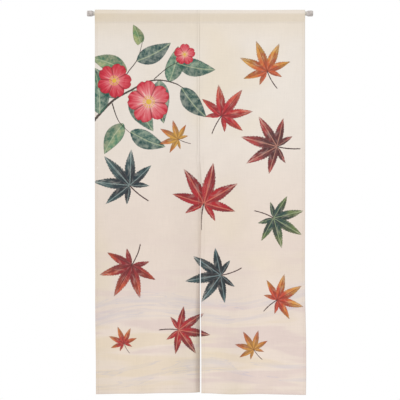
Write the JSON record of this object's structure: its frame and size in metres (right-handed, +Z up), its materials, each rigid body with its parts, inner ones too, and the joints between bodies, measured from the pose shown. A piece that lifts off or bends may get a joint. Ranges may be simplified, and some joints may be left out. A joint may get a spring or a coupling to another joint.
{
  "type": "noren curtain with tension rod",
  "caption": "Hanging doorway curtain of two cloth panels seamed at the top and slit below, on a straight capped rod through a sewn pocket.",
  "frame": {"origin": "middle of the rod's axis", "axes": "+X along the rod to the viewer's right, +Y to the back of the curtain, +Z up; the printed side faces -Y"},
  "size_m": [0.8832, 0.0365, 1.505],
  "materials": {
    "cloth": "plain woven cotton and linen with a soft printed design",
    "rod": "satin light grey coating",
    "cap": "matt light grey moulded rubber"
  },
  "bodies": {
    "root": {"left_panel": "cloth", "right_panel": "cloth", "rod": "rod", "left_cap": "cap", "right_cap": "cap"}
  },
  "joints": []
}
